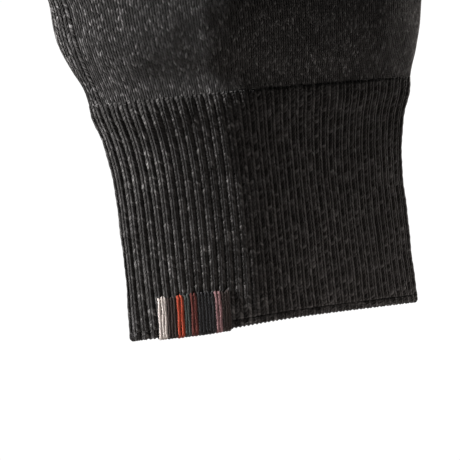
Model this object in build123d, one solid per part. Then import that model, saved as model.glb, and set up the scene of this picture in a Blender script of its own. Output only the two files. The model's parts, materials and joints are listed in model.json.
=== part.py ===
from build123d import *
import os

# A knitted right-hand glove for use with touchscreens, standing on its wrist opening, fingers up.
# +Z runs from the wrist opening to the fingertips, the back of the hand faces -Y, the palm +Y,
# the thumb -X and the little finger +X. The origin is the centre of the wrist opening. Millimetres.

# ---- driving dimensions ----
WALL = 1.8                 # thickness of the knitted fabric
EDGE_HEIGHT = 1.6          # bound-off rim of the cuff
CUFF_TOP = 60.0            # where the ribbing ends and the plain knit starts
WRIST_TOP = 84.0           # top of the soft band that bends at the wrist
HAND_TOP = 150.0           # where the fingers leave the hand

# height, width, depth and corner radius of the sleeve from the rim to the fingers
SLEEVE_SECTIONS = [
    (0.0, 80.0, 24.0, 10.0),
    (15.0, 80.0, 24.0, 10.0),
    (30.0, 80.0, 24.0, 10.0),
    (45.0, 81.0, 24.4, 10.4),
    (60.0, 88.5, 27.0, 12.0),
    (75.0, 96.5, 30.0, 13.5),
    (90.0, 101.5, 31.0, 14.0),
    (105.0, 103.0, 31.0, 14.0),
    (120.0, 102.5, 30.0, 13.5),
    (135.0, 101.0, 27.5, 12.5),
    (HAND_TOP, 98.0, 23.0, 11.0),
]
HAND_TOP_ROUND = 5.0       # radius of the hand's top edge, outside

FINGER_GAP = 1.6           # clear space between two fingers at the hand's top
FINGER_ROOT = 18.0         # how far a finger's tube reaches down inside the hand
# width, depth, length above the hand, outward lean in degrees, height of the knuckle hinge
FINGERS = {
    "index": (23.0, 17.0, 72.0, -4.0, 9.5),
    "middle": (24.0, 17.5, 83.0, -0.5, 10.5),
    "ring": (23.0, 17.0, 76.0, 3.0, 9.5),
    "little": (20.5, 15.5, 60.0, 8.0, 8.5),
}
FINGERS_LEFT = -(sum(size[0] for size in FINGERS.values()) + (len(FINGERS) - 1) * FINGER_GAP) / 2
MIDDLE_JOINT = 0.46        # height of the middle joint as a share of the finger's length
KNUCKLE_RANGE = 80.0       # degrees
MIDDLE_RANGE = 90.0        # degrees

THUMB_START = (-31.5, 0.0, 84.5)
THUMB_LEAN = -42.0         # degrees from +Z towards -X
THUMB_WIDTH = 25.0
THUMB_DEPTH = 19.0
THUMB_LENGTH = 100.0       # from THUMB_START, inside the hand, to the tip
THUMB_BASE_HINGE = 52.0    # along the thumb from THUMB_START
THUMB_TIP_HINGE = 73.0
THUMB_BASE_RANGE = 50.0    # degrees
THUMB_TIP_RANGE = 65.0     # degrees
THUMB_SEAM = 45.0          # along the thumb, where it is linked to the hand

TOUCH_LENGTH = 16.0        # conductive knitting at the tips of the thumb and the index finger
WAIST_HEIGHT = 0.55        # height where a finger starts to narrow, as a share of its length
WAIST_WIDTH = 0.98         # a finger's width there over its base width
WAIST_DEPTH = 0.97         # a finger's depth there over its base depth
TIP_SHRINK = 0.88          # a fingertip's width and depth over its base
SIDE_ROUND = 0.48          # corner radius of a finger's section over its depth, at the base
WAIST_ROUND = 0.46         # the same where it starts to narrow
TIP_SIDE_ROUND = 0.42      # the same at the tip
TIP_ROUND = 0.42           # radius of a fingertip's end over its depth
TIP_ROUND_INSIDE = 0.7     # how much of the fabric's thickness comes off that radius inside
TIP_STITCHES = 0.34        # width of a fingertip's closing stitches over the finger's width
CROTCH_STITCHES = 0.6      # width of the stitches between two fingers over the gap there
HINGE_GAP = 0.3            # clear slot between two pieces at a hinge
HINGE_MARGIN = 1.0         # degrees of clearance at the end of a hinge's travel
FOLD_GAP = 0.15            # clear space round a fold piece
PIECE_GAP = 0.05           # clear space between two pieces of one body

BAR_LENGTH = 9.2           # stitched bars at the rim, seen height
BAR_PROUD = 0.7            # yarn thickness of a bar
BARS_LEFT = -33.0          # x where the row of bars starts
BAR_SPACE = 0.1
# the bars from left to right: colour and width
BARS = [
    ("ivory", 2.1),
    ("brown_left", 2.3),
    ("orange_red", 1.85),
    ("grey_green", 1.5),
    ("maroon", 1.75),
    ("navy", 4.3),
    ("mauve", 1.75),
    ("brown_right", 2.2),
]

LABEL_SIZE = (12.0, 0.5, 24.0)
LABEL_CENTRE_X = 18.0
LABEL_TOP = 34.0
STITCH = 1.4               # thickness of a row of closing stitches

FAR = 400.0                # larger than the glove


# ---- basic shapes ----
def lofted(sections, inset=0.0):
    """A smooth solid through rounded rectangles, each side moved inwards by inset."""
    faces = [
        Plane.XY.offset(height) * RectangleRounded(width - 2 * inset, depth - 2 * inset, corner - inset)
        for height, width, depth, corner in sections
    ]
    return loft(faces)


def round_top(solid, radius):
    """Round the edge of a solid's flat top."""
    top = solid.faces().sort_by(Axis.Z)[-1]
    return fillet(top.edges(), radius)


def slab(low, high):
    """All space between two heights."""
    return Pos(0, 0, (low + high) / 2) * Box(FAR, FAR, high - low)


def finger_solid(width, depth, start, length, inset=0.0):
    """A tapered finger along +Z with a rounded tip, from start to length."""
    end = length - inset
    sections = [
        (start, width, depth, SIDE_ROUND * depth),
        (start + WAIST_HEIGHT * (end - start), WAIST_WIDTH * width, WAIST_DEPTH * depth, WAIST_ROUND * depth),
        (end, TIP_SHRINK * width, TIP_SHRINK * depth, TIP_SIDE_ROUND * depth),
    ]
    solid = lofted(sections, inset)
    return round_top(solid, TIP_ROUND * TIP_SHRINK * depth - TIP_ROUND_INSIDE * inset)


def wedge(points, place):
    """A prism along the hinge axis, from points (y, z) counted from the hinge."""
    outline = Plane.YZ * make_face(Polyline(*points, close=True).edges())
    return place * extrude(outline, FAR / 2, both=True)


def side_of_hinge(place, half_angle, way):
    """The space beyond a hinge (way 1) or before it (way -1), with a V cut on the palm side."""
    slope = Vector(FAR, 0).rotate(Axis.Z, half_angle)
    gap = HINGE_GAP / 2
    top = FAR + slope.Y
    outline = [(-FAR, gap), (0, gap), (slope.X, gap + slope.Y), (slope.X, top), (-FAR, top)]
    return wedge([(y, way * z) for y, z in outline], place)


def beyond(place, half_angle):
    return side_of_hinge(place, half_angle, 1)


def before(place, half_angle):
    return side_of_hinge(place, half_angle, -1)


def fold(place, half_angle):
    """The V between the two sides of a hinge, which the fabric fills when the finger is straight."""
    slope = Vector(FAR, 0).rotate(Axis.Z, half_angle)
    start = 4 * FOLD_GAP
    top = slope.Y - FOLD_GAP
    return wedge([(start, 0), (slope.X, top), (slope.X, -top)], place)


# ---- pieces ----
def write(name, shape):
    """Write one node; a shape may hold several solids."""
    export_step(shape, f"parts/{name}.step")


def half_range(degrees):
    """Half the angle of the V that a hinge of this range needs."""
    return degrees / 2 + HINGE_MARGIN


def digit(name, place, width, depth, start, length, hinges, ranges, touch, hinge_turn):
    """One finger or the thumb: its pieces, and the near part that stays with the hand."""
    outer = place * finger_solid(width, depth, start, length)
    inner = place * finger_solid(width, depth, start, length, WALL)
    tube = outer - inner
    spots = [place * Pos(0, 0, height) for height in hinges]
    if not hinge_turn:
        # a finger's hinges stay square to the glove even where the finger leans
        spots = [Pos(*spot.position) for spot in spots]
    angles = [half_range(value) for value in ranges]
    pieces = {}
    pieces[f"{name}_base"] = tube & beyond(spots[0], angles[0]) & before(spots[1], angles[1])
    end = tube & beyond(spots[1], angles[1])
    if touch:
        split_height = length - TOUCH_LENGTH
        pieces[f"{name}_touch_tip"] = end & (place * slab(split_height + PIECE_GAP, length + FAR))
        end = end & (place * slab(split_height - FAR, split_height))
    pieces[f"{name}_end"] = end
    joint_names = ["knuckle", "middle"] if name != "thumb" else ["knuckle", "tip"]
    for joint_name, spot, angle in zip(joint_names, spots, angles):
        pieces[f"{name}_{joint_name}_knit"] = tube & fold(spot, angle)
    tip_row = place * Pos(0, 0, length - STITCH / 2) * Box(TIP_STITCHES * width, STITCH, 2 * STITCH)
    pieces[f"{name}_tip_stitches"] = tip_row - outer
    root = outer & before(spots[0], angles[0])
    return pieces, root, inner


def digits():
    """Every finger and the thumb."""
    pieces = {}
    roots = []
    hollows = []
    left = FINGERS_LEFT
    for name, (width, depth, length, lean, hinge) in FINGERS.items():
        place = Pos(left + width / 2, 0, HAND_TOP) * Rot(0, lean, 0)
        made, root, hollow = digit(
            name, place, width, depth, -FINGER_ROOT, length,
            [hinge, MIDDLE_JOINT * length], [KNUCKLE_RANGE, MIDDLE_RANGE], name == "index", False,
        )
        for joint, height in (("knuckle", hinge), ("middle", MIDDLE_JOINT * length)):
            print(f"hinge {name}_{joint}", (place * Pos(0, 0, height)).position)
        left += width + FINGER_GAP
        pieces.update(made)
        roots.append(root)
        hollows.append(hollow)
    place = Pos(*THUMB_START) * Rot(0, THUMB_LEAN, 0)
    for joint, height in (("knuckle", THUMB_BASE_HINGE), ("tip", THUMB_TIP_HINGE)):
        print(f"hinge thumb_{joint}", (place * Pos(0, 0, height)).position)
    made, root, hollow = digit(
        "thumb", place, THUMB_WIDTH, THUMB_DEPTH, 0, THUMB_LENGTH,
        [THUMB_BASE_HINGE, THUMB_TIP_HINGE], [THUMB_BASE_RANGE, THUMB_TIP_RANGE], True, True,
    )
    pieces.update(made)
    roots.append(root)
    hollows.append(hollow)
    pieces["thumb_seam"] = thumb_seam(place)
    return pieces, roots, hollows


def thumb_seam(place):
    """The linked ridge round the thumb where it joins the hand."""
    ridge = finger_solid(THUMB_WIDTH + STITCH, THUMB_DEPTH + STITCH, 0, THUMB_LENGTH)
    core = finger_solid(THUMB_WIDTH, THUMB_DEPTH, 0, THUMB_LENGTH)
    return place * ((ridge - core) & slab(THUMB_SEAM, THUMB_SEAM + STITCH))


def sleeve(roots, hollows):
    """Rim, ribbed cuff, soft wrist band and hand, one above the other."""
    outer = round_top(lofted(SLEEVE_SECTIONS), HAND_TOP_ROUND)
    hollow = round_top(lofted(SLEEVE_SECTIONS, WALL) & slab(-FAR, HAND_TOP - WALL), HAND_TOP_ROUND - WALL)
    shell = outer - hollow
    hand = outer & slab(WRIST_TOP, HAND_TOP)
    for root in roots:
        hand = hand + root
    hand = hand - hollow
    for inside in hollows:
        hand = hand - inside
    return {
        "cuff_edge": shell & slab(0, EDGE_HEIGHT),
        "rib_cuff": shell & slab(EDGE_HEIGHT + PIECE_GAP, CUFF_TOP),
        "wrist_knit": shell & slab(CUFF_TOP + FOLD_GAP, WRIST_TOP - FOLD_GAP),
        "hand": hand,
    }


def stitched_bars():
    """Flat bars of yarn sewn over the rim, each a hook round the edge of the cuff."""
    _, width, depth, corner = SLEEVE_SECTIONS[0]
    band = extrude(RectangleRounded(width + 2 * BAR_PROUD, depth + 2 * BAR_PROUD, corner + BAR_PROUD),
                   BAR_LENGTH + BAR_PROUD)
    inside = WALL + BAR_PROUD
    core = extrude(RectangleRounded(width - 2 * inside, depth - 2 * inside, corner - inside),
                   BAR_LENGTH + BAR_PROUD)
    cuff = lofted(SLEEVE_SECTIONS) - lofted(SLEEVE_SECTIONS, WALL)
    hook = Pos(0, 0, -BAR_PROUD) * (band - core) - cuff
    bars = {}
    left = BARS_LEFT
    for colour, bar_width in BARS:
        strip = Pos(left + bar_width / 2, -FAR / 2, 0) * Box(bar_width - BAR_SPACE, FAR, FAR)
        bars[f"bar_{colour}"] = hook & strip
        left += bar_width
    return bars


def care_label():
    """A blank folded tape inside the cuff, hanging from a row of stitches."""
    width, thickness, height = LABEL_SIZE
    inner_face = SLEEVE_SECTIONS[0][2] / 2 - WALL
    y = inner_face - 2 * PIECE_GAP - thickness / 2
    tape = Pos(LABEL_CENTRE_X, y, LABEL_TOP - height / 2) * Box(width, thickness, height)
    row_y = y - thickness
    row = Pos(LABEL_CENTRE_X, row_y, LABEL_TOP - STITCH) * Box(width, thickness, STITCH)
    return {"care_label": tape, "care_label_stitches": row}


def crotch_stitches():
    """Short rows that close the knitting between neighbouring fingers."""
    rows = []
    left = FINGERS_LEFT
    for width, *_ in list(FINGERS.values())[:-1]:
        left += width
        spot = Pos(left + FINGER_GAP / 2, 0, HAND_TOP + STITCH / 4)
        rows.append(spot * Box(CROTCH_STITCHES * FINGER_GAP, 5 * STITCH, STITCH / 2))
        left += FINGER_GAP
    return {"finger_crotch_stitches": Compound(rows)}


def main():
    """Build every piece and write it as its own node."""
    os.makedirs("parts", exist_ok=True)
    pieces, roots, hollows = digits()
    pieces.update(sleeve(roots, hollows))
    pieces.update(stitched_bars())
    pieces.update(care_label())
    pieces.update(crotch_stitches())
    for name, shape in pieces.items():
        write(name, shape)


main()
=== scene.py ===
import json
import math

import bpy
import numpy as np
from mathutils import Matrix, Vector


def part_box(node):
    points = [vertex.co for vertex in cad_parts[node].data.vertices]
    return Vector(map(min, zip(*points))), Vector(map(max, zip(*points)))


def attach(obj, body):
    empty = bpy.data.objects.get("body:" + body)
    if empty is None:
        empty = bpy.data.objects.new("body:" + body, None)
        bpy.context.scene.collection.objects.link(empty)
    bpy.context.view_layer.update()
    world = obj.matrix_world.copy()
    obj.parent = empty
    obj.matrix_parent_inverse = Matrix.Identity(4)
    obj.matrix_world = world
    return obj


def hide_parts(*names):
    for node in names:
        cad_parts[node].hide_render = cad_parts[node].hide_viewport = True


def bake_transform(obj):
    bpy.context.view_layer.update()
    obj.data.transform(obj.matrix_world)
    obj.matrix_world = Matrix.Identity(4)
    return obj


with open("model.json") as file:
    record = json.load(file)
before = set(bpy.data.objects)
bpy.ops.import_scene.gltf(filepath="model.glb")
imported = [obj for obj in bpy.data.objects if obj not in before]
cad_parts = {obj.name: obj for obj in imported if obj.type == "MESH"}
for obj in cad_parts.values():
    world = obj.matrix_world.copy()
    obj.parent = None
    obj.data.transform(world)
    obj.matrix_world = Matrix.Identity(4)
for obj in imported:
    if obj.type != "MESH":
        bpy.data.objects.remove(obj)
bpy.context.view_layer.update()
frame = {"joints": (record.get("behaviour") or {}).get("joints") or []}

# A knitted right-hand glove. Lengths in this script are millimetres until a mesh is made.
# One smooth base surface carries the whole glove: rings of control points for the sleeve, the
# fingers and the thumb. The ribbed cuff is a dense grid on it, and the plain knit is its subdivision.
# Each point has two fabric coordinates: u counts wales (columns of stitches), v counts courses (rows).

MM = 0.001

# ---- sizes taken from the frame ----


def node_box(name):
    """A CAD node's lowest and highest corners in millimetres."""
    low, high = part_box(name)
    return np.array(low) / MM, np.array(high) / MM


CUFF_TOP = node_box("rib_cuff")[1][2]
HAND_TOP = 150.0
JOINTS = {joint["name"]: joint for joint in frame["joints"]}

# ---- the fabric ----
WALL = 1.5                  # thickness of the fabric below its relief
WALES = 158                 # wales round the hand; a rib of the cuff is two of them
COURSE = 0.95               # height of one row of stitches
RIB_HEIGHT = 0.44           # how far a rib stands out of the groove beside it
RIB_SHARE = 0.74            # share of the rib's pitch that the raised wale takes

# ---- the sleeve: height, half width, half depth, roundness of the section ----
SLEEVE = [
    (-12.0, 40.2, 11.4, 1.5),
    (0.0, 39.9, 11.4, 1.5),
    (12.0, 39.5, 11.6, 1.5),
    (24.0, 39.3, 11.8, 1.5),
    (36.0, 39.3, 11.8, 1.5),
    (48.0, 40.4, 12.0, 1.55),
    (60.0, 44.7, 13.6, 1.6),
    (72.0, 48.6, 15.2, 1.65),
    (81.0, 50.3, 15.4, 1.7),
    (90.0, 51.0, 15.4, 1.8),
    (107.0, 51.3, 15.2, 2.0),
    (125.0, 50.8, 14.2, 2.4),
    (138.0, 49.8, 12.6, 3.0),
    (HAND_TOP, 48.6, 10.8, 4.0),
]
ROW_STEP = SLEEVE[1][0] - SLEEVE[0][0]
CREST = -5.0                # x of the ridge along the back of the hand
FIRST_JERSEY_ROW = 6        # the row at CUFF_TOP
THUMB_ROWS = (9, 11)        # the thumb leaves the sleeve between these rows
# x of the columns on the front at the hand's top, as shares of the half width
COLUMN_SHARES = [-0.93, -0.742, -0.489, -0.226, 0.037, 0.29, 0.543, 0.77, 0.94]
SIDE = len(COLUMN_SHARES)   # columns on the front, and as many on the back

# ---- fingers: width, depth, length, outward lean in degrees ----
FINGERS = {
    "index": (23.0, 17.0, 72.0, -4.0),
    "middle": (24.0, 17.5, 83.0, -0.5),
    "ring": (23.0, 17.0, 76.0, 3.0),
    "little": (20.5, 15.5, 60.0, 8.0),
}
FINGER_GAP = 1.6
CROTCH_DEPTH = 3.5          # how far the saddle between two fingers dips
TOUCH_LENGTH = 16.0
TAPER = 0.13                # how much narrower a digit is at its tip
FINGER_TIP_ROUND = 10.0     # length of the rounded end
THUMB_TIP_ROUND = 11.0
SMOOTHING = 3               # subdivisions of the plain knit
THUMB_START = np.array([-31.5, 0.0, 84.5])
THUMB_LEAN = -42.0
THUMB_WIDTH = 25.0
THUMB_DEPTH = 19.0
THUMB_LENGTH = 100.0

PIECES = ["hand"]
DIGITS = [*FINGERS, "thumb"]
for finger in DIGITS:
    PIECES += [f"{finger}_base", f"{finger}_end"]
PIECES += ["index_touch_tip", "thumb_touch_tip"]


def upright(lean):
    """The direction of a digit that leans outward by this many degrees."""
    lean = math.radians(lean)
    return np.array([math.sin(lean), 0.0, math.cos(lean)])


def sideways(axis):
    """The direction across a digit, in the plane of the hand."""
    return np.array([axis[2], 0.0, -axis[0]])


DIGIT_AXES = {finger: upright(size[3]) for finger, size in FINGERS.items()}
THUMB_AXIS = upright(THUMB_LEAN)
THUMB_UP = sideways(THUMB_AXIS)
DIGIT_AXES["thumb"] = THUMB_AXIS
PALM = np.array([0.0, 1.0, 0.0])    # from the back of the hand to the palm


# ---- base surface: rings of control points ----
def unit(vectors):
    return vectors / np.maximum(np.linalg.norm(vectors, axis=-1, keepdims=True), 1e-9)


def section_depth(x, half_width, half_depth, roundness):
    """Half depth of the lens-shaped section at x."""
    reach = half_width + CREST if x < CREST else half_width - CREST
    share = min(abs(x - CREST) / reach, 1.0)
    return half_depth * (1.0 - share ** roundness) ** 0.8


def through(points):
    """Control points of the closed cubic B-spline that runs through these points."""
    count = len(points)
    weights = np.zeros((count, count))
    for i in range(count):
        weights[i, i] = 4 / 6
        weights[i, (i + 1) % count] = 1 / 6
        weights[i, i - 1] = 1 / 6
    return np.linalg.solve(weights, np.array(points, float))


def sleeve_ring(height, half_width, half_depth, roundness):
    """One ring, from the front's left edge over the front, the right edge, the back and the left edge."""
    front = []
    for share in COLUMN_SHARES:
        x = share * half_width
        front.append((x, -section_depth(x, half_width, half_depth, roundness), height))
    back = [(x, -y, z) for x, y, z in reversed(front)]
    right = [(half_width, 0.0, height)]
    left = [(-half_width, 0.0, height)]
    return through(front + right + back + left)


def ring_lengths(ring):
    """Running length round a ring, starting at column 0, with the whole length last."""
    closed = np.vstack([ring, ring[:1]])
    steps = np.linalg.norm(np.diff(closed, axis=0), axis=1)
    return np.concatenate([[0], np.cumsum(steps)])


COLUMNS = 2 * SIDE + 2
RIGHT = SIDE
LEFT = COLUMNS - 1


def back_column(front_column):
    """The column of the palm behind a column of the back of the hand."""
    return COLUMNS - 2 - front_column


SLEEVE_CAGE = np.array([sleeve_ring(*row) for row in SLEEVE])
_lengths = ring_lengths(SLEEVE_CAGE[FIRST_JERSEY_ROW])
COLUMN_WALES = np.round(_lengths / _lengths[-1] * WALES)


class Cage:
    """Control mesh of the plain knit: points, quads, fabric coordinates and the piece of each quad."""

    def __init__(self):
        self.points = []
        self.quads = []
        self.fabric = []
        self.piece = []

    def ring(self, points):
        first = len(self.points)
        self.points += [tuple(point) for point in points]
        return list(range(first, first + len(points)))

    def quad(self, corners, wales, courses, piece):
        """One quad, whose corners run from its left low one to the right and then up."""
        left, right = wales
        low, high = courses
        self.quads.append(corners)
        self.fabric.append([(left, low), (right, low), (right, high), (left, high)])
        self.piece.append(PIECES.index(piece))

    def tube(self, low, high, wales, courses, piece):
        """Quads between two rings; wales has the u of each column's two sides."""
        for i in range(len(low)):
            j = (i + 1) % len(low)
            self.quad([low[i], low[j], high[j], high[i]], wales[i], courses, piece)

    def cap(self, ring, wales, course, piece):
        """Quads across the open end of a tube."""
        count = len(ring)
        for i in range(count // 2 - 1):
            corners = [ring[i], ring[i + 1], ring[count - 2 - i], ring[count - 1 - i]]
            self.quad(corners, wales[i], (course, course + 3), piece)

    def digit(self, ring, wales, course, previous, sections):
        """A closed digit on a ring; a section is its distance along the digit, its points and its piece."""
        for along, points, piece in sections:
            new_ring = self.ring(points)
            next_course = course + (along - previous) / COURSE
            self.tube(ring, new_ring, wales, (course, next_course), piece)
            ring, course, previous = new_ring, next_course, along
        self.cap(ring, wales, course, piece)


def side_wales(columns):
    """The u of both sides of each column of a ring that follows the sleeve's columns."""
    return [(COLUMN_WALES[column], COLUMN_WALES[column + 1]) for column in columns]


def bridge_wales(start, step):
    """The u of two new columns that close a finger between the others."""
    return [(start, start + step), (start + step, start + 2 * step)]


def hand_cage(cage):
    """The plain-knit sleeve, with a hole for the thumb; two rows below it only guide the surface."""
    rows = []
    for row in range(FIRST_JERSEY_ROW - 2, len(SLEEVE)):
        rows.append(cage.ring(SLEEVE_CAGE[row]))
    first = FIRST_JERSEY_ROW - 2
    hole_columns = [0, LEFT, LEFT - 1, back_column(1)]
    for k in range(len(rows) - 1):
        row = first + k
        courses = (SLEEVE[row][0] / COURSE, SLEEVE[row + 1][0] / COURSE)
        for column in range(COLUMNS):
            if THUMB_ROWS[0] <= row < THUMB_ROWS[1] and column in hole_columns:
                continue
            j = (column + 1) % COLUMNS
            corners = [rows[k][column], rows[k][j], rows[k + 1][j], rows[k + 1][column]]
            cage.quad(corners, COLUMN_WALES[column:column + 2], courses, "hand")
    return {first + k: ring for k, ring in enumerate(rows)}


def oval(centre, across, half_width, half_depth, angles, boxy):
    """Points of an oval section; angles run from the across direction towards the palm."""
    points = []
    for angle in angles:
        c, s = math.cos(angle), math.sin(angle)
        swell = 1 + boxy * math.sin(2 * angle) ** 2
        points.append(centre + across * (half_width * c * swell) + PALM * (half_depth * s * swell))
    return points


def eased(x):
    x = min(max(x, 0.0), 1.0)
    return x * x * (3 - 2 * x)


def tip_profile(from_tip, round_length):
    """Width of a fingertip as a share, from the distance to its end."""
    if from_tip >= round_length:
        return 1.0
    inside = 1 - from_tip / round_length
    return math.sqrt(max(1 - inside ** 2.4, 0.0))


FINGER_ROOT_HEIGHTS = (5.0, 10.5, 16.0)
FINGER_TIP_GAPS = (9.0, 5.0, 2.2, 0.5)


def finger_cage(cage, name, index, base_ring, wales):
    """One finger as a tube of eight columns from the hand's top to its closed tip."""
    width, depth, length, _ = FINGERS[name]
    joint = JOINTS[f"{name}_middle_bend"]
    axis = DIGIT_AXES[name]
    left = -(sum(size[0] for size in FINGERS.values()) + 3 * FINGER_GAP) / 2
    left += sum(FINGERS[other][0] + FINGER_GAP for other in list(FINGERS)[:index])
    start = np.array([left + width / 2, 0.0, HAND_TOP])
    middle_height = (joint["pos_m"][2] / MM - HAND_TOP) / axis[2]
    bend = middle_bend_reach(name)
    heights = [*FINGER_ROOT_HEIGHTS, middle_height - bend, middle_height, middle_height + bend]
    if name == "index":
        heights.append(length - TOUCH_LENGTH)
    else:
        heights.append((heights[-1] + length - FINGER_TIP_GAPS[0]) / 2)
    heights += [length - gap for gap in FINGER_TIP_GAPS]
    angles = [math.radians(-135 + 45 * i) for i in range(8)]
    sections = []
    for height in heights:
        taper = 1 - TAPER * (height / length)
        swell = 1 + 0.02 * math.cos(2 * math.pi * height / length)
        share = taper * swell * tip_profile(length - height, FINGER_TIP_ROUND)
        root = eased(height / 14.0)
        half_width = (width / 2 + 0.4 * (1 - root)) * share
        half_depth = (depth / 2) * share
        points = through(oval(start + axis * height, sideways(axis), half_width, half_depth, angles, 0.05))
        if height <= middle_height - bend + 0.01:
            piece = f"{name}_base"
        elif name == "index" and height > length - TOUCH_LENGTH + 0.01:
            piece = f"{name}_touch_tip"
        else:
            piece = f"{name}_end"
        sections.append((height, points, piece))
    cage.digit(base_ring, wales, HAND_TOP / COURSE, 0.0, sections)


def middle_bend_reach(name):
    """Half length of the stretch that bends at a finger's middle joint."""
    return {"little": 9.6}.get(name, 10.8)


def fingers_cage(cage, top_ring):
    """Four fingers on the hand's top ring; neighbours share the three points between them."""
    between = {}
    for column in (2, 4, 6):
        front = np.array(cage.points[top_ring[column]])
        back = np.array(cage.points[top_ring[back_column(column)]])
        between[column] = cage.ring([(front + back) / 2 - np.array([0, 0, CROTCH_DEPTH])])[0]
    for index, name in enumerate(FINGERS):
        low, high = 2 * index, 2 * index + 2
        front = [top_ring[column] for column in (low, low + 1, high)]
        back = [top_ring[back_column(column)] for column in (high, low + 1, low)]
        right = between.get(high, top_ring[RIGHT])
        left = between.get(low, top_ring[LEFT])
        wales = side_wales([low, low + 1])
        wales += bridge_wales(COLUMN_WALES[high], 6) if high in between else side_wales([RIGHT - 1, RIGHT])
        wales += side_wales([back_column(high), back_column(low + 1)])
        if low in between:
            wales += bridge_wales(COLUMN_WALES[back_column(low)], 6)
        else:
            wales += side_wales([LEFT - 1, LEFT])
        finger_cage(cage, name, index, front + [right] + back + [left], wales)


# along the thumb: where the lower and the upper side of each ring lie
THUMB_RINGS = [(29.0, 42.8), (37.5, 45.5), (52.0, 52.0), (63.0, 63.0), (73.0, 73.0), (84.0, 84.0)]
THUMB_TIP_GAPS = (9.5, 5.0, 2.2, 0.5)
THUMB_ROOT = 20.0           # along the thumb: where its first course starts
# along the thumb: where each piece of its knit ends
THUMB_PIECES = [(43.0, "hand"), (64.0, "thumb_base"), (84.5, "thumb_end"), (THUMB_LENGTH, "thumb_touch_tip")]


def thumb_cage(cage, rows):
    """The thumb as a tube of twelve columns from the hole in the sleeve to its closed tip."""
    low, high = THUMB_ROWS
    middle = (low + high) // 2
    order = [1, 0, LEFT, LEFT - 1, back_column(1)]
    ring = [rows[high][column] for column in order]
    ring += [rows[middle][back_column(1)]]
    ring += [rows[low][column] for column in reversed(order)]
    ring += [rows[middle][1]]
    # seen from the tip the ring runs from the front over the top to the palm, so the first angle is -60
    angles = [math.radians(-60 + 30 * i) for i in range(12)]
    wales = [(5 * i, 5 * i + 5) for i in range(12)]
    rings = list(THUMB_RINGS) + [(THUMB_LENGTH - gap, THUMB_LENGTH - gap) for gap in THUMB_TIP_GAPS]
    sections = []
    for lower, upper in rings:
        along = (lower + upper) / 2
        tilt = (upper - lower) / THUMB_WIDTH
        taper = 1 - TAPER * max(along - 45, 0) / (THUMB_LENGTH - 45)
        share = taper * tip_profile(THUMB_LENGTH - along, THUMB_TIP_ROUND)
        half_width = THUMB_WIDTH / 2 * share
        half_depth = THUMB_DEPTH / 2 * share
        across = THUMB_UP + THUMB_AXIS * tilt
        centre = THUMB_START + THUMB_AXIS * along
        points = through(oval(centre, across, half_width, half_depth, angles, 0.04))
        piece = next(name for end, name in THUMB_PIECES if along < end)
        sections.append((along, points, piece))
    cage.digit(ring, wales, 0.0, THUMB_ROOT, sections)


# ---- the smooth sleeve, evaluated anywhere ----
def spline_weights(t, count):
    """Cubic B-spline weights at t, as the first of four control rows and their weights."""
    cell = np.clip(np.floor(t).astype(int), 1, count - 3)
    f = t - cell
    weights = np.stack([
        (1 - f) ** 3 / 6,
        (3 * f ** 3 - 6 * f ** 2 + 4) / 6,
        (-3 * f ** 3 + 3 * f ** 2 + 3 * f + 1) / 6,
        f ** 3 / 6,
    ])
    return cell - 1, weights


def blend_rows(table, t):
    """Values of a table of control rows at the parameters t."""
    first, weights = spline_weights(t, len(table))
    return sum(weights[k][(...,) + (None,) * (table.ndim - 1)] * table[first + k] for k in range(4))


def sleeve_grid(row_parameters, wale_positions):
    """Points of the smooth sleeve on a grid of rows and wales, with the course of each row."""
    wrapped = np.concatenate([SLEEVE_CAGE[:, -2:], SLEEVE_CAGE, SLEEVE_CAGE[:, :3]], axis=1)
    wales = np.concatenate([COLUMN_WALES[-3:-1] - WALES, COLUMN_WALES[:-1], COLUMN_WALES[:3] + WALES])
    fine = np.linspace(1, len(wales) - 2, 4000)
    fine_wales = blend_rows(wales[:, None], fine)[:, 0]
    columns = np.interp(wale_positions, fine_wales, fine)
    across = blend_rows(wrapped.transpose(1, 0, 2), columns)
    grid = blend_rows(across.transpose(1, 0, 2), row_parameters)
    courses = blend_rows(np.array([[row[0]] for row in SLEEVE]), row_parameters)[:, 0] / COURSE
    return grid, courses


def sleeve_normals(row_parameters, wales):
    """Outward normals of the smooth sleeve on a grid of rows and wales."""
    below, _ = sleeve_grid(row_parameters - 0.05, wales)
    above, _ = sleeve_grid(row_parameters + 0.05, wales)
    before, _ = sleeve_grid(row_parameters, wales - 0.1)
    after, _ = sleeve_grid(row_parameters, wales + 0.1)
    return unit(np.cross(after - before, above - below))


# ---- soft shape of worn fabric ----
# ridges and hollows round the wrist: side, height, spread, push outwards
WRIST_WAVES = [
    ("thumb", 80.0, 9.0, 1.3),
    ("thumb", 64.5, 4.0, -0.9),
    ("all", 55.5, 3.0, 0.3),
    ("little", 63.0, 3.2, -0.35),
]
# folds that slant from the sides of the hand towards the cuff: side, slope, height, spread, x, spread, push
SLANTED_FOLDS = [
    ("back", 0.35, 56.0, 5.0, -38.0, 12.0, 0.7),
    ("back", 0.5, 50.0, 5.0, -30.0, 14.0, -0.6),
    ("back", -0.4, 60.0, 5.0, 34.0, 12.0, 0.5),
    ("palm", -0.3, 74.0, 5.0, 10.0, 25.0, 0.5),
]
# creases across a digit at its joint: distance from the hinge, spread, push
JOINT_CREASES = [(0.0, 1.4, -0.5), (4.2, 1.3, -0.35), (-4.0, 1.3, -0.35), (2.1, 1.6, 0.3), (-2.1, 1.6, 0.3)]
CREASE_REACH = 16.0         # how far from a hinge its creases reach sideways
# low uneven waves: push, then two waves as radians per mm along x, y and z, and a start
UNEVENNESS = [
    (0.22, (0.11, 0.0, 0.07, 1.3), (0.0, 0.4, 0.09, 0.5)),
    (0.16, (0.23, 0.0, -0.13, 0.2), (0.0, 0.0, 0.17, 2.1)),
    (0.10, (0.41, 0.0, 0.37, 0.0), (-0.33, 0.0, 0.29, 1.0)),
]


def hill(x, centre, width):
    return np.exp(-((x - centre) / width) ** 2)


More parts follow.
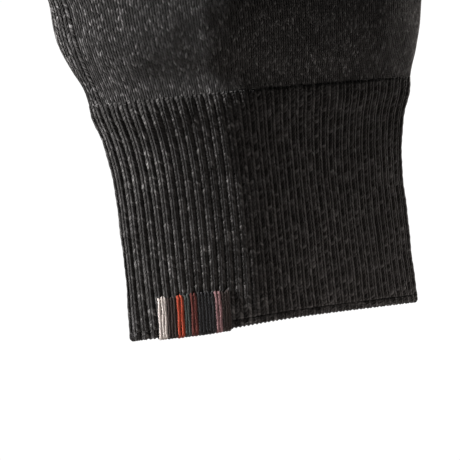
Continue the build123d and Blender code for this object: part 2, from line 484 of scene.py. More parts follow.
def soft_shape(points, normals):
    """Folds, hollows and unevenness that the fabric takes, along its normals."""
    x, y, z = points[..., 0], points[..., 1], points[..., 2]
    on_back = 1 / (1 + np.exp(y / 1.5))
    thumb_side = 1 / (1 + np.exp((x - 2) / 6))
    sides = {"all": 1, "back": on_back, "palm": 1 - on_back, "thumb": thumb_side, "little": 1 - thumb_side}
    push = np.zeros_like(x)
    for side, height, spread, amount in WRIST_WAVES:
        push += sides[side] * amount * hill(z, height, spread)
    for side, slope, height, spread, middle, width, amount in SLANTED_FOLDS:
        push += sides[side] * amount * hill(z + slope * x, height, spread) * hill(x, middle, width)
    for name, joint in JOINTS.items():
        if name == "wrist_bend":
            continue
        along = DIGIT_AXES[name.split("_")[0]]
        away = points - np.array(joint["pos_m"]) / MM
        height = away @ along
        aside = np.linalg.norm(away - height[..., None] * along, axis=-1)
        near = hill(aside, 0, CREASE_REACH) * (1 - 0.6 * on_back)
        for place, width, amount in JOINT_CREASES:
            push += near * amount * hill(height, place, width)
    for amount, first, second in UNEVENNESS:
        waves = [np.sin(a * x + b * y + c * z + start) for a, b, c, start in (first, second)]
        push += amount * waves[0] * waves[1]
    return points + normals * push[..., None]


HEM_TILT = 0.9              # the rim is lower on the thumb side by twice this
BARS_GATHER = 14.0          # reach of the gathering that the bars make


def hem_shape(points):
    """The rim is not quite level, and the stitched bars gather the ribs."""
    x, y, z = points[..., 0], points[..., 1], points[..., 2]
    moved = points.copy()
    low = np.clip(1 - z / 45, 0, 1) ** 2
    moved[..., 2] += low * (HEM_TILT * np.tanh((x + 10) / 12) - 0.2)
    on_back = 1 / (1 + np.exp(y))
    near = on_back * hill(x, BARS_CENTRE, BARS_GATHER) * hill(z, 0, BARS_GATHER)
    moved[..., 0] -= 0.13 * (x - BARS_CENTRE) * near
    moved[..., 1] += 0.5 * near
    return moved


BARS_LEFT = node_box("bar_ivory")[0][0]
BARS_RIGHT = node_box("bar_brown_right")[1][0]
BARS_CENTRE = (BARS_LEFT + BARS_RIGHT) / 2
BARS_TOP = node_box("bar_ivory")[1][2]


# ---- the ribbed cuff ----
SAMPLES_PER_RIB = 10
CUFF_ROWS = 64
CUFF_START = 1.6            # height where the bound-off rim ends
INSIDE_RELIEF = 0.35        # how much of the ribs shows inside


def rib_relief(wales):
    """Height of the ribs over the grooves, with the crease between the two legs of each stitch."""
    across = np.abs((wales / 2) % 1.0 - 0.5) / (RIB_SHARE / 2)
    crown = np.clip(1 - across ** 2.2, 0, 1) ** 0.7
    crease = 0.26 * np.exp(-(across / 0.26) ** 2)
    return RIB_HEIGHT * (crown - crease)


def rib_strength(height):
    """Ribs fade out into the plain knit over the last courses."""
    return np.clip((CUFF_TOP + 0.4 - height) / 3.0, 0, 1) ** 0.8


def cuff_surface(heights, wales, inward=0.0, relief=1.0):
    """Finished points of the cuff at these heights, moved inward from the outside."""
    heights = np.asarray(heights, float)
    # the sleeve's rows are evenly spaced here, so a height is also a row parameter
    rows = 1 + heights / ROW_STEP
    grid, courses = sleeve_grid(rows, wales)
    normals = sleeve_normals(rows, wales)
    grid = soft_shape(grid, normals)
    wave = 0.06 * np.sin(2 * math.pi * 0.37 * courses)[:, None] * np.sin(0.9 * wales)[None, :]
    push = relief * rib_relief(wales)[None, :] * rib_strength(heights)[:, None] - inward + wave * relief
    grid = grid + normals * push[..., None]
    return hem_shape(grid), courses


CUFF_WALES = np.arange(0, WALES, 2 / SAMPLES_PER_RIB)


def add_object(name, mesh):
    obj = bpy.data.objects.new(name, mesh)
    bpy.context.scene.collection.objects.link(obj)
    return obj


def fabric_mesh(name, points, faces, uv):
    """A smooth mesh from points in millimetres, with the fabric coordinates of every face corner."""
    mesh = bpy.data.meshes.new(name)
    mesh.from_pydata((np.asarray(points) * MM).tolist(), [], faces)
    layer = mesh.uv_layers.new(name="fabric")
    layer.data.foreach_set("uv", np.asarray(uv, np.float32).reshape(-1))
    mesh.shade_smooth()
    return mesh


def grid_object(name, rows, courses, wales):
    """A closed ring-shaped shell from a stack of rings whose last one joins the first."""
    count = rows.shape[1]
    index = np.arange(rows.shape[0] * count).reshape(-1, count)
    beside = np.roll(index, -1, axis=1)
    corners = [index, beside, np.roll(beside, -1, axis=0), np.roll(index, -1, axis=0)]
    faces = np.stack(corners, axis=-1).reshape(-1, 4)
    u = np.tile(wales, rows.shape[0])
    v = np.repeat(courses, count)
    uv = np.stack([u[faces], v[faces]], axis=-1)
    wraps = (faces % count == count - 1).any(axis=1)
    uv[..., 0][wraps[:, None] & (faces % count == 0)] += WALES
    return add_object(name, fabric_mesh(name, rows.reshape(-1, 3), faces.tolist(), uv))


def rib_cuff():
    """The cuff: ribbed outside, nearly smooth inside, closed at its top and bottom."""
    outside = np.linspace(CUFF_START, CUFF_TOP, CUFF_ROWS)
    inside = np.linspace(CUFF_TOP, CUFF_START, 10)
    outer, outer_courses = cuff_surface(outside, CUFF_WALES)
    inner, inner_courses = cuff_surface(inside, CUFF_WALES, WALL, INSIDE_RELIEF)
    rows = np.concatenate([outer, inner])
    return grid_object("ribbed_cuff", rows, np.concatenate([outer_courses, inner_courses]), CUFF_WALES)


def cuff_edge():
    """The bound-off rim: the ribs roll over it to the inside."""
    beside_rim = CUFF_START * 0.55
    upper, upper_courses = cuff_surface([CUFF_START, beside_rim], CUFF_WALES)
    lower, lower_courses = cuff_surface([beside_rim, CUFF_START], CUFF_WALES, WALL, INSIDE_RELIEF)
    loops = 0.18 * np.cos(2 * math.pi * CUFF_WALES)
    rows, courses = list(upper), list(upper_courses)
    for angle in np.linspace(0, math.pi, 9):
        inward = WALL / 2 * (1 - math.cos(angle))
        drop = 0.8 * math.sin(angle)
        ring, ring_courses = cuff_surface([0.2], CUFF_WALES, inward=inward, relief=1 - 0.6 * angle / math.pi)
        ring[0][:, 2] -= drop + loops * math.sin(angle) - 0.1
        rows.append(ring[0])
        courses.append(ring_courses[0] - (drop + inward) / COURSE)
    rows += list(lower)
    courses += list(lower_courses)
    return grid_object("cuff_rim", np.array(rows), np.array(courses), CUFF_WALES)


# ---- the plain knit ----
def read(collection, key, size, kind):
    """One property of everything in a collection of mesh data, as an array."""
    values = np.empty(len(collection) * size, kind)
    collection.foreach_get(key, values)
    return values


def subdivided(cage, levels):
    """The cage's smooth surface as arrays: points, quads, fabric coordinates and piece of each quad."""
    mesh = bpy.data.meshes.new("plain_knit")
    mesh.from_pydata(cage.points, [], cage.quads)
    layer = mesh.uv_layers.new(name="fabric")
    layer.data.foreach_set("uv", np.array(cage.fabric, np.float32).reshape(-1))
    mesh.polygons.foreach_set("material_index", np.array(cage.piece, np.int32))
    for _ in PIECES:
        mesh.materials.append(None)
    obj = add_object("plain_knit", mesh)
    modifier = obj.modifiers.new("smooth", "SUBSURF")
    modifier.levels = levels
    modifier.render_levels = levels
    modifier.quality = 4
    bpy.context.view_layer.update()
    fine = bpy.data.meshes.new_from_object(obj.evaluated_get(bpy.context.evaluated_depsgraph_get()))
    points = read(fine.vertices, "co", 3, float)
    quads = read(fine.loops, "vertex_index", 1, np.int32)
    fabric = read(fine.uv_layers["fabric"].data, "uv", 2, np.float32)
    piece = read(fine.polygons, "material_index", 1, np.int32)
    bpy.data.objects.remove(obj)
    bpy.data.meshes.remove(fine)
    return points.reshape(-1, 3), quads.reshape(-1, 4), fabric.reshape(-1, 4, 2), piece


def quad_crosses(points, quads):
    """The normal of each quad, as long as twice its area."""
    a, b, c, d = (points[quads[:, k]] for k in range(4))
    return np.cross(c - a, d - b)


def vertex_normals(points, quads):
    """Smooth normals of a quad mesh."""
    crosses = quad_crosses(points, quads)
    normals = np.zeros_like(points)
    for k in range(4):
        np.add.at(normals, quads[:, k], crosses)
    return unit(normals)


def boundary_edges(quads):
    """Directed edges that only one of these quads has."""
    edges = np.concatenate([quads[:, [k, (k + 1) % 4]] for k in range(4)])
    known = {tuple(edge) for edge in edges.tolist()}
    return [edge for edge in known if (edge[1], edge[0]) not in known]


def shell_object(name, points, normals, quads, fabric):
    """A closed shell: the outer quads, the same quads inside the fabric, and rims along the borders."""
    used = np.unique(quads)
    index = np.full(len(points), -1)
    index[used] = np.arange(len(used))
    count = len(used)
    outer = index[quads]
    inner = outer[:, ::-1] + count
    rims = []
    rim_fabric = []
    border_fabric = {}
    for face, corners in zip(outer.tolist(), fabric.tolist()):
        for vertex, coordinate in zip(face, corners):
            border_fabric[vertex] = coordinate
    for start, end in boundary_edges(outer):
        rims.append((end, start, start + count, end + count))
        rim_fabric.append([border_fabric[corner] for corner in (end, start, start, end)])
    corner_points = np.concatenate([points[used], points[used] - normals[used] * WALL])
    faces = np.concatenate([outer, inner, np.array(rims, int).reshape(-1, 4)])
    uv = np.concatenate([fabric, fabric[:, ::-1], np.array(rim_fabric, np.float32).reshape(-1, 4, 2)])
    mesh = fabric_mesh(name, corner_points, faces.tolist(), uv)
    corner_normals = np.concatenate([normals[used], -normals[used]])[faces]
    first_rim = len(outer) * 2
    corner_normals[first_rim:] = unit(quad_crosses(corner_points, faces[first_rim:]))[:, None, :]
    mesh.normals_split_custom_set(corner_normals.reshape(-1, 3).tolist())
    return add_object(name, mesh)


def plain_knit():
    """Hand, fingers and thumb as separate shells that meet without a step."""
    cage = Cage()
    rows = hand_cage(cage)
    fingers_cage(cage, rows[len(SLEEVE) - 1])
    thumb_cage(cage, rows)
    points, quads, fabric, piece = subdivided(cage, SMOOTHING)
    normals = vertex_normals(points, quads)
    points = soft_shape(points, normals)
    points = hem_shape(points)
    normals = vertex_normals(points, quads)
    corners = {name: np.unique(quads[piece == number]) for number, name in enumerate(PIECES)}
    made = {}
    for number, name in enumerate(PIECES):
        chosen = piece == number
        if name == "hand":
            lowest = points[quads][..., 2].mean(axis=1)
            guide = (fabric[..., 1].mean(axis=1) < CUFF_TOP / COURSE) & (lowest < CUFF_TOP + 5)
            chosen &= ~guide
        made[name] = shell_object(f"knit_{name}", points, normals, quads[chosen], fabric[chosen])
    return made, points, normals, corners


def thumb_seam(points, normals, corners):
    """The linked ridge where the thumb's base meets the hand."""
    shared = np.intersect1d(corners["hand"], corners["thumb_base"])
    ring = points[shared] + normals[shared] * 0.18
    away = ring - ring.mean(axis=0)
    order = np.argsort(np.arctan2(away[:, 1], away @ THUMB_UP))
    path = ring[np.concatenate([order, order[:2]])]
    return tube_object("thumb_seam_yarn", [path], 0.5)


def crotch_stitches(points, normals, corners):
    """Yarn over the saddle between neighbouring fingers."""
    paths = []
    names = list(FINGERS)
    for one, other in zip(names, names[1:]):
        shared = np.intersect1d(corners[f"{one}_base"], corners[f"{other}_base"])
        line = points[shared] + normals[shared] * 0.2
        paths.append(line[np.argsort(line[:, 1])])
    return tube_object("finger_crotch_yarn", paths, 0.42)


def tip_stitches(name, points, corners):
    """The drawn-up yarn that closes a fingertip, over its top."""
    piece = f"{name}_touch_tip" if f"{name}_touch_tip" in corners else f"{name}_end"
    tip = points[corners[piece]]
    along = DIGIT_AXES[name]
    across = sideways(along)
    heights = tip @ along
    sides = tip @ across
    centre = sides[heights > heights.max() - 1.0].mean()
    path = []
    for step in np.linspace(-1, 1, 13):
        side = centre + 3.4 * step
        height = heights[np.abs(sides - side) < 0.9].max()
        sway = 0.45 * math.sin(7.0 * step)
        path.append(across * side + along * (height + 0.1 - 0.5 * step ** 4) + np.array([0.0, sway, 0.0]))
    return tube_object(f"{name}_tip_yarn", [path], 0.5)


# ---- yarn ----
YARN_STEP = 0.22            # distance between two rings of a yarn's mesh
YARN_SIDES = 10
PLIES = 2
TWIST = 1.7                 # length of one turn of the plies
PLY_DEPTH = 0.16            # groove between the plies as a share of the radius


def tube_object(name, paths, radius):
    """Twisted yarns along paths, all in one object, with rounded ends."""
    sides = YARN_SIDES
    points = []
    faces = []
    coordinates = []
    for number, path in enumerate(paths):
        path = np.asarray(path, float)
        steps = np.linalg.norm(np.diff(path, axis=0), axis=1)
        along = np.concatenate([[0], np.cumsum(steps)])
        count = max(int(along[-1] / YARN_STEP), 6)
        spots = np.linspace(0, along[-1], count)
        line = np.stack([np.interp(spots, along, path[:, k]) for k in range(3)], axis=1)
        tangents = np.gradient(line, axis=0)
        tangents /= np.linalg.norm(tangents, axis=1, keepdims=True)
        helper = np.array([1.0, 0.0, 0.0])
        first = len(points)
        for k in range(count):
            side = np.cross(tangents[k], helper)
            if np.linalg.norm(side) < 0.2:
                side = np.cross(tangents[k], [0.0, 1.0, 0.0])
            side /= np.linalg.norm(side)
            other = np.cross(tangents[k], side)
            end = min(k, count - 1 - k) * (along[-1] / count)
            share = math.sqrt(1 - (1 - min(end / radius + 0.05, 1.0)) ** 2)
            for i in range(sides):
                angle = 2 * math.pi * i / sides
                ply = 1 + PLY_DEPTH * math.cos(PLIES * (angle - 2 * math.pi * spots[k] / TWIST + number))
                reach = radius * share * ply
                points.append(line[k] + side * math.cos(angle) * reach + other * math.sin(angle) * reach)
        for k in range(count - 1):
            for i in range(sides):
                j = (i + 1) % sides
                a = first + k * sides
                faces.append((a + i, a + j, a + sides + j, a + sides + i))
                coordinates += [(i / sides, spots[k]), ((i + 1) / sides, spots[k]),
                                ((i + 1) / sides, spots[k + 1]), (i / sides, spots[k + 1])]
        start_cap = tuple(first + i for i in reversed(range(sides)))
        end_cap = tuple(first + (count - 1) * sides + i for i in range(sides))
        faces += [start_cap, end_cap]
        coordinates += [(i / sides, 0.0) for i in range(sides)] * 2
    return add_object(name, fabric_mesh(name, points, faces, coordinates))


# strands and colour of the yarn in each bar
BARS = {
    "ivory": (3, (0.62, 0.56, 0.52)),
    "brown_left": (3, (0.026, 0.013, 0.01)),
    "orange_red": (2, (0.38, 0.045, 0.012)),
    "grey_green": (2, (0.04, 0.05, 0.045)),
    "maroon": (2, (0.11, 0.017, 0.011)),
    "navy": (5, (0.01, 0.01, 0.012)),
    "mauve": (2, (0.29, 0.155, 0.16)),
    "brown_right": (3, (0.022, 0.012, 0.009)),
}


def cuff_line(x, height, first, last, samples, inward=0.0):
    """Points of the smooth cuff at these x, between two of its columns."""
    wales = np.linspace(COLUMN_WALES[first], COLUMN_WALES[last], samples)
    ring = cuff_surface([max(height, 0.0)], wales, inward=inward, relief=0.0)[0][0]
    ring = ring[np.argsort(ring[:, 0])]
    return np.stack([np.interp(x, ring[:, 0], ring[:, k]) for k in range(3)], axis=-1)


def back_outside(x, height):
    return cuff_line(x, height, 0, RIGHT, 900)


def palm_inside(x, height, inward):
    return cuff_line(x, height, RIGHT, LEFT, 500, inward)


def stitched_bar(name, strands):
    """One bar: strands of yarn side by side, over the rim and a little way up inside."""
    low, high = node_box(f"bar_{name}")
    width = high[0] - low[0]
    spacing = width / strands
    radius = max(min(spacing * 0.56, 0.6), 0.42)
    proud = 0.75 * RIB_HEIGHT + radius * 0.2
    paths = []
    for strand in range(strands):
        x = low[0] + spacing * (strand + 0.5)
        seed = x * 3.7
        slant = 0.35 + 0.1 * math.sin(seed)
        top = BARS_TOP + 0.25 * math.sin(seed * 1.9)
        path = []
        surface = back_outside(x, top)
        path.append(surface + np.array([slant, 0.5, top - surface[2] + 0.1]))
        for height in np.linspace(top - 0.35, 0.3, 14):
            share = height / top
            shift = slant * share + 0.07 * math.sin(height * 1.1 + seed)
            surface = back_outside(x + shift, height)
            bulge = 0.12 * math.sin(math.pi * share)
            path.append(surface + np.array([0.0, -proud - bulge, 0.0]))
        rim = back_outside(x, 0.2)
        middle = rim + np.array([0.0, WALL / 2, 0.0])
        reach = WALL / 2 + proud
        for angle in np.linspace(0.25, math.pi - 0.1, 8):
            path.append(middle + np.array([0.0, -reach * math.cos(angle), 0.1 - 0.95 * math.sin(angle)]))
        for height in (1.2, 2.6, 4.0):
            path.append(middle + np.array([0.0, WALL / 2 + 0.5, height]))
        path.append(middle + np.array([0.0, WALL / 2 - 0.3, 4.6]))
        paths.append(path)
    return tube_object(f"yarn_bar_{name}", paths, radius)


# ---- care label ----
LABEL_THICKNESS = 0.3
LABEL_CURL = 0.9            # how far the free end stands off the knit
LABEL_GRID = (41, 25)       # rows and columns of its mesh


def care_label():
    """A blank tape that hangs from its stitches and curls a little away from the knit."""
    low, high = node_box("care_label")
    columns = np.linspace(low[0], high[0], LABEL_GRID[1])
    face = []
    for height in np.linspace(high[2], low[2], LABEL_GRID[0]):
        share = (high[2] - height) / (high[2] - low[2])
        line = palm_inside(columns, height, WALL + 0.35)
        line[:, 1] -= LABEL_CURL * share ** 2 + 0.12 * np.sin(2.2 * columns + 5 * share) * share
        face.append(line)
    points = np.concatenate(face)
    total = len(points)
    index = np.arange(total).reshape(LABEL_GRID)
    corners = [index[:-1, :-1], index[:-1, 1:], index[1:, 1:], index[1:, :-1]]
    front = np.stack(corners, axis=-1).reshape(-1, 4)
    rim = [*index[0], *index[1:, -1], *index[-1, -2::-1], *index[-2:0:-1, 0]]
    edge = [[b, a, a + total, b + total] for a, b in zip(rim, rim[1:] + rim[:1])]
    faces = np.concatenate([front, front[:, ::-1] + total, edge])
    points = np.concatenate([points, points + LABEL_THICKNESS * PALM])
    uv = points[faces][..., [0, 2]]
    return add_object("blank_label", fabric_mesh("blank_label", points, faces.tolist(), uv))


def label_stitches():
    """A zigzag row of sewing thread along the top of the label."""
    low, high = node_box("care_label")
    path = []
    for step, x in enumerate(np.linspace(low[0] + 0.6, high[0] - 0.6, 19)):
        height = high[2] - 1.2 + 0.55 * (-1) ** step
        path.append(palm_inside(x, height, WALL + 0.5))
    return tube_object("label_thread", [path], 0.2)


# ---- materials ----
class Nodes:
    """Short ways to add and link the shader nodes of a material or of the room."""

    def __init__(self, owner):
        owner.use_nodes = True
        self.owner = owner
        self.tree = owner.node_tree
        self.surface = self.tree.nodes.get("Principled BSDF") or self.tree.nodes["Background"]

    def add(self, kind, settings=None, inputs=None):
        node = self.tree.nodes.new(kind)
        for key, value in (settings or {}).items():
            setattr(node, key, value)
        for key, value in (inputs or {}).items():
            self.plug(node, key, value)
        return node

    def plug(self, node, key, value):
        socket = node.inputs[key]
        if isinstance(value, bpy.types.NodeSocket):
            self.tree.links.new(value, socket)
        else:
            socket.default_value = value

    def math(self, operation, a, b=0.0):
        node = self.add("ShaderNodeMath", {"operation": operation})
        self.plug(node, 0, a)
        if operation not in ("ABSOLUTE", "FRACT", "FLOOR", "SINE"):
            self.plug(node, 1, b)
        return node.outputs[0]

    def look(self, key, value):
        self.plug(self.surface, key, value)

    def bump(self, height, distance, strength=1.0):
        inputs = {"Strength": strength, "Distance": distance, "Height": height}
        self.look("Normal", self.add("ShaderNodeBump", inputs=inputs).outputs[0])

    def fabric(self):
        """The two fabric coordinates."""
        uv = self.add("ShaderNodeUVMap", {"uv_map": "fabric"}).outputs[0]
        split = self.add("ShaderNodeSeparateXYZ", inputs={0: uv})
        return split.outputs[0], split.outputs[1]

    def times(self, a, b):
        return self.math("MULTIPLY", a, b)

    def plus(self, a, b):
        return self.math("ADD", a, b)

    def minus(self, a, b):
        return self.math("SUBTRACT", a, b)

    def from_middle(self, value):
        """Distance from the middle of a repeating cell: 0 there and 1 at its ends."""
        return self.times(self.math("ABSOLUTE", self.minus(self.math("FRACT", value), 0.5)), 2.0)

    def vector(self, x, y, z=0.0):
        return self.add("ShaderNodeCombineXYZ", inputs={0: x, 1: y, 2: z}).outputs[0]

    def noise(self, vector, scale, detail, roughness):
        return self.add("ShaderNodeTexNoise", inputs={
            "Vector": vector, "Scale": scale, "Detail": detail, "Roughness": roughness}).outputs["Fac"]

    def ramp(self, factor, stops):
        node = self.add("ShaderNodeValToRGB", inputs={"Fac": factor})
        elements = node.color_ramp.elements
        while len(elements) < len(stops):
            elements.new(0.5)
        for element, (position, colour) in zip(elements, stops):
            element.position = position
            element.color = (*colour, 1.0)
        return node.outputs["Color"]

    def mix(self, blend_type, factor, a, b):
        node = self.add("ShaderNodeMix", {"data_type": "RGBA", "blend_type": blend_type})
        self.plug(node, "Factor", factor)
        for key, value in ((6, a), (7, b)):
            self.plug(node, key, value)
        return node.outputs[2]

    def by_camera(self, unseen, seen):
        """A value that is different for what the camera sees directly."""
        ray = self.add("ShaderNodeLightPath").outputs["Is Camera Ray"]
        inputs = {"Value": ray, "To Min": unseen, "To Max": seen}
        return self.add("ShaderNodeMapRange", inputs=inputs).outputs["Result"]


def knit_nodes(nodes, ribbed):
    """Fabric coordinates, height of the stitches and a shade for each leg of a stitch."""
    wales, courses = nodes.fabric()
    wobble = nodes.noise(nodes.vector(wales, courses), 0.5, 3.0, 0.6)
    wobble = nodes.minus(wobble, 0.5)
    # the two legs of a stitch: they fill a wale of plain knit, and a whole raised rib of the cuff
    legs = wales if ribbed else nodes.times(wales, 2.0)
    legs = nodes.plus(legs, nodes.times(wobble, 0.35))
    leg = nodes.math("FLOOR", legs)
    across = nodes.from_middle(legs)
    # even legs lean one way and odd legs the other, which makes the V
    side = nodes.times(nodes.math("FRACT", nodes.times(leg, 0.5)), 4.0)
    lean = nodes.times(nodes.minus(side, 1.0), nodes.math("FRACT", legs))
    slanted = nodes.plus(courses, nodes.times(lean, 0.8))
    slanted = nodes.plus(slanted, nodes.times(wobble, 1.6))
    row = nodes.math("FLOOR", slanted)
    along = nodes.from_middle(slanted)
    strand = nodes.minus(1.0, nodes.math("POWER", across, 2.5))
    ends = nodes.minus(1.0, nodes.times(nodes.math("POWER", along, 3.0), 0.7))
    height = nodes.times(strand, ends)
    random = nodes.add("ShaderNodeTexWhiteNoise", {"noise_dimensions": "2D"},
                       {"Vector": nodes.vector(leg, row)}).outputs["Value"]
    # a light or dark stretch of yarn often runs on over a few stitches of the same leg
    streak = nodes.noise(nodes.vector(nodes.times(leg, 7.31), nodes.times(courses, 0.4)), 1.0, 2.0, 0.6)
    shade = nodes.plus(nodes.times(random, 0.45), nodes.times(streak, 0.6))
    return wales, courses, slanted, height, shade


def wool_knit(name, colours, ribbed=False, bump=0.0005, roughness=0.85, sheen=0.25):
    """Heathered knitted wool: dark, middle, light and fleck colours of its mixed fibres, and painted shade in
    the gaps between its strands.
    """
    nodes = Nodes(bpy.data.materials.new(name))
    wales, courses, slanted, height, shade = knit_nodes(nodes, ribbed)
    fibre = nodes.noise(nodes.vector(nodes.times(wales, 6.0), nodes.times(slanted, 1.6)), 1.0, 4.0, 0.75)
    patches = nodes.noise(nodes.vector(wales, courses, 3.0), 0.12, 3.0, 0.6)
    mixed = nodes.plus(shade, nodes.times(nodes.minus(fibre, 0.5), 0.7))
    mixed = nodes.plus(mixed, nodes.times(nodes.minus(patches, 0.5), 0.16))
    dark, middle, light, fleck = colours
    colour = nodes.ramp(mixed, [(0.3, dark), (0.52, middle), (0.7, light), (0.88, fleck)])
    # painted shade: the colour is darkened in the gaps between strands, where the stitch height is low
    painted_gap_shade = nodes.plus(0.3, nodes.times(height, 0.8))
    colour = nodes.mix("MULTIPLY", 1.0, colour, nodes.vector(painted_gap_shade, painted_gap_shade, painted_gap_shade))
    nodes.look("Base Color", colour)
    relief = nodes.plus(height, nodes.times(fibre, 0.5))
    nodes.bump(relief, bump)
    nodes.look("Roughness", roughness)
    nodes.look("Specular IOR Level", 0.25)
    nodes.look("Sheen Weight", sheen)
    nodes.look("Sheen Roughness", 0.5)
    nodes.look("Sheen Tint", (0.8, 0.78, 0.76, 1.0))
    return nodes.owner


def satin_tape(name, colour):
    """Woven tape: fine weft and warp lines, and slight soiling."""
    nodes = Nodes(bpy.data.materials.new(name))
    x, z = nodes.fabric()
    weft = nodes.math("ABSOLUTE", nodes.math("SINE", nodes.times(z, 9.0)))
    warp = nodes.math("ABSOLUTE", nodes.math("SINE", nodes.times(x, 13.0)))
    weave = nodes.plus(nodes.times(weft, 0.7), nodes.times(warp, 0.3))
    soil = nodes.noise(nodes.vector(x, z), 0.4, 4.0, 0.6)
    value = nodes.plus(nodes.times(weave, 0.35), nodes.times(soil, 0.65))
    darker = tuple(part * 0.78 for part in colour)
    nodes.look("Base Color", nodes.ramp(value, [(0.25, darker), (0.65, colour)]))
    nodes.bump(weave, 0.00008, 0.6)
    nodes.look("Roughness", 0.45)
    return nodes.owner


def yarn_material(name, colour, contrast=0.45):
    """Dyed wool yarn: fibres that wind along the strand, with lighter and darker ones among them."""
    nodes = Nodes(bpy.data.materials.new(name))
    around, along = nodes.fabric()
    winding = nodes.plus(nodes.times(around, 6.0), nodes.times(along, 2.4))
    where = nodes.vector(winding, nodes.times(along, 0.5))
    fibre = nodes.noise(where, 1.6, 4.0, 0.75)
    dark = tuple(value * (1 - contrast) for value in colour)
    light = tuple(min(value * (1 + contrast) + 0.02, 1.0) for value in colour)
    shade = nodes.ramp(fibre, [(0.3, dark), (0.5, colour), (0.72, light)])
    nodes.look("Base Color", shade)
    nodes.bump(fibre, 0.00018)
    nodes.look("Roughness", 0.85)
    nodes.look("Specular IOR Level", 0.25)
    nodes.look("Sheen Weight", 0.3)
    return nodes.owner


CHARCOAL = ((0.007, 0.0065, 0.006), (0.032, 0.0305, 0.0295), (0.14, 0.135, 0.134), (0.46, 0.45, 0.45))
RIB_CHARCOAL = ((0.008, 0.0075, 0.0065), (0.027, 0.0255, 0.0245), (0.075, 0.072, 0.071), (0.21, 0.205, 0.2))
CONDUCTIVE = ((0.04, 0.04, 0.041), (0.1, 0.1, 0.101), (0.2, 0.2, 0.202), (0.42, 0.42, 0.43))
THREAD = (0.022, 0.021, 0.021)
LABEL = (0.72, 0.69, 0.63)


def finish_piece(obj, made, nodes, body):
    """Material, body and replaced CAD nodes of one piece; the hand and the tubes of the digits have no body.
    """
    obj.data.materials.clear()
    obj.data.materials.append(made)
    if body:
        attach(obj, body)
    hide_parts(*nodes)


def hinge_point(joint):
    return Vector(JOINTS[joint]["pos_m"])


def bend_at(obj):
    """Bake a piece's placement into its mesh."""
    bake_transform(obj)


def digit_tubes(name, pieces, wool):
    """The two knitted tubes of a digit; each also replaces the knit at the hinge at its start."""
    if name == "thumb":
        hinges = [("base", "knuckle", "hand", 7.0), ("end", "tip", "thumb_base", 9.0)]
    else:
        knuckle_height = hinge_point(f"{name}_knuckle_bend").z / MM - HAND_TOP
        hinges = [
            ("base", "knuckle", "hand", knuckle_height),
            ("end", "middle", f"{name}_base", middle_bend_reach(name)),
        ]
    for part, hinge, parent, reach in hinges:
        child = f"{name}_{part}"
        finish_piece(pieces[child], wool, [child, f"{name}_{hinge}_knit"], None)
        bend_at(pieces[child])


def glove():
    """Every knitted piece, with its material and its place in the frame."""
    rib_wool = wool_knit("rib_wool", RIB_CHARCOAL, ribbed=True, bump=0.0004)
    plain_wool = wool_knit("plain_wool", CHARCOAL, bump=0.0008)
    conductive = wool_knit("conductive_yarn", CONDUCTIVE, roughness=0.6, sheen=0.1)
    finish_piece(rib_cuff(), rib_wool, ["rib_cuff"], "cuff")
    finish_piece(cuff_edge(), rib_wool, ["cuff_edge"], "cuff")
    pieces, points, normals, corners = plain_knit()
    finish_piece(pieces["hand"], plain_wool, ["hand", "wrist_knit"], None)
    bend_at(pieces["hand"])
    for name in DIGITS:
        digit_tubes(name, pieces, plain_wool)
    for name in ("index", "thumb"):
        finish_piece(pieces[f"{name}_touch_tip"], conductive, [f"{name}_touch_tip"], f"{name}_end")
    thread = yarn_material("closing_yarn", THREAD)
    closings = [
        (thumb_seam(points, normals, corners), "thumb_seam", "hand"),
        (crotch_stitches(points, normals, corners), "finger_crotch_stitches", "hand"),
    ]
    for name in DIGITS:
        closings.append((tip_stitches(name, points, corners), f"{name}_tip_stitches", f"{name}_end"))
    for obj, node, body in closings:
        finish_piece(obj, thread, [node], body)
    finish_piece(care_label(), satin_tape("blank_tape", LABEL), ["care_label"], "cuff")
    finish_piece(label_stitches(), yarn_material("label_thread", LABEL, 0.2), ["care_label_stitches"], "cuff")


def bars():
    """The eight stitched bars at the rim."""
    for name, (strands, colour) in BARS.items():
        made = yarn_material(f"yarn_{name}", colour)
        finish_piece(stitched_bar(name, strands), made, [f"bar_{name}"], "cuff")


# ---- stage ----
# name, place, target, size in metres, power in watts, colour, spread in degrees
LIGHTS = [
    ("key", (-0.88, 0.075, 0.4), (-0.02, 0, 0.1), (0.08, 0.3), 1.2, (1, 0.98, 0.98), 40),
    ("low_fill", (0.03, -0.06, -0.07), (0.01, 0, 0.01), (0.12, 0.04), 0.026, (1, 0.9, 0.86), 120),
    ("right_rim", (0.6, 0.35, 0.1), (0.03, 0, 0.06), (0.3, 0.5), 1.5, (1, 0.93, 0.88), 70),
    ("palm_fill", (0.1, 0.9, 0.5), (0, 0, 0.12), (0.6, 0.6), 1.3, (1, 1, 1), 70),
    ("finger_fill", (0.12, -0.34, 0.7), (0, 0, 0.27), (0.1, 0.1), 0.014, (1, 1, 1), 34),
]


def area_light(name, place, target, size, power, colour, spread):
    """A soft lamp that lights the glove and isn't seen itself."""
    data = bpy.data.lights.new(name, "AREA")
    data.shape = "RECTANGLE"
    data.size, data.size_y = size
    data.energy = power
    data.color = colour
    data.spread = math.radians(spread)
    obj = bpy.data.objects.new(name, data)
    obj.location = place
    obj.rotation_euler = (Vector(target) - Vector(place)).to_track_quat("-Z", "Y").to_euler()
    obj.visible_camera = False
    bpy.context.scene.collection.objects.link(obj)


WHITE = (1, 1, 1, 1)
WARM_SHADE = (1, 0.84, 0.68, 1)
AMBIENT = 0.01              # light of the room on the glove
BACKDROP = 1.05             # brightness of the room in the camera
FLOOR_SEEN = 0.97           # brightness of the floor in the camera
FLOOR_HEIGHT = -0.32        # metres
FLOOR_REACH = 2.0           # metres from its middle to each side


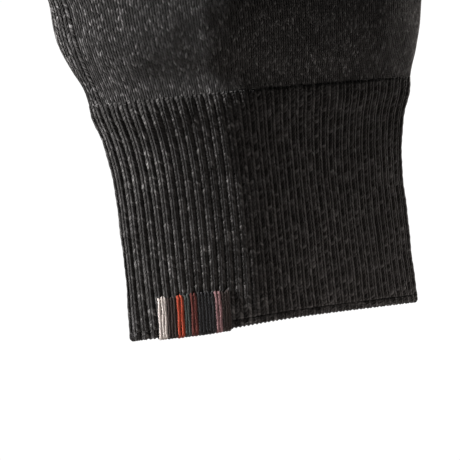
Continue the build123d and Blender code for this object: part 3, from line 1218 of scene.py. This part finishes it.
def room():
    """A white room that only the camera sees at full strength."""
    world = bpy.data.worlds.new("studio")
    bpy.context.scene.world = world
    nodes = Nodes(world)
    nodes.look("Strength", nodes.by_camera(AMBIENT, BACKDROP))
    nodes.look("Color", nodes.mix("MIX", nodes.by_camera(0.0, 1.0), WARM_SHADE, WHITE))


def floor():
    """A plain pale floor well below the glove."""
    mesh = bpy.data.meshes.new("floor")
    square = ((-1, -1), (1, -1), (1, 1), (-1, 1))
    corners = [(x * FLOOR_REACH, y * FLOOR_REACH, FLOOR_HEIGHT) for x, y in square]
    mesh.from_pydata(corners, [], [(0, 1, 2, 3)])
    obj = add_object("floor", mesh)
    nodes = Nodes(bpy.data.materials.new("pale_floor"))
    nodes.look("Base Color", (0.8, 0.8, 0.79, 1.0))
    nodes.look("Emission Color", WHITE)
    nodes.look("Emission Strength", nodes.by_camera(0.0, FLOOR_SEEN))
    obj.data.materials.append(nodes.owner)


def stage():
    """Soft lights: a raking key from the left, low fill at the rim, rims and fills elsewhere."""
    bpy.context.scene.view_settings.view_transform = "Standard"
    room()
    floor()
    for light in LIGHTS:
        area_light(*light)


CAMERA_AZIMUTH = math.radians(-17)
CAMERA_DISTANCE = 0.85
VIEW_WIDTH = 0.1205         # width of the scene in view at the glove
ROLL = math.radians(6.0)
AIM = Vector((-0.0099, 0.0, 0.0244))


def camera():
    """The camera, before the thumb side of the back of the hand, rolled so that the glove leans left."""
    data = bpy.data.cameras.new("camera")
    data.sensor_width = 36
    data.lens = 36 * CAMERA_DISTANCE / VIEW_WIDTH
    obj = bpy.data.objects.new("camera", data)
    toward = Vector((math.sin(CAMERA_AZIMUTH), -math.cos(CAMERA_AZIMUTH), 0))
    obj.location = AIM + toward * CAMERA_DISTANCE
    facing = (-toward).to_track_quat("-Z", "Y").to_matrix()
    roll = Matrix.Rotation(-ROLL, 3, "Z")
    obj.rotation_euler = (facing @ roll).to_euler()
    bpy.context.scene.collection.objects.link(obj)
    bpy.context.scene.camera = obj


camera()
stage()
glove()
bars()
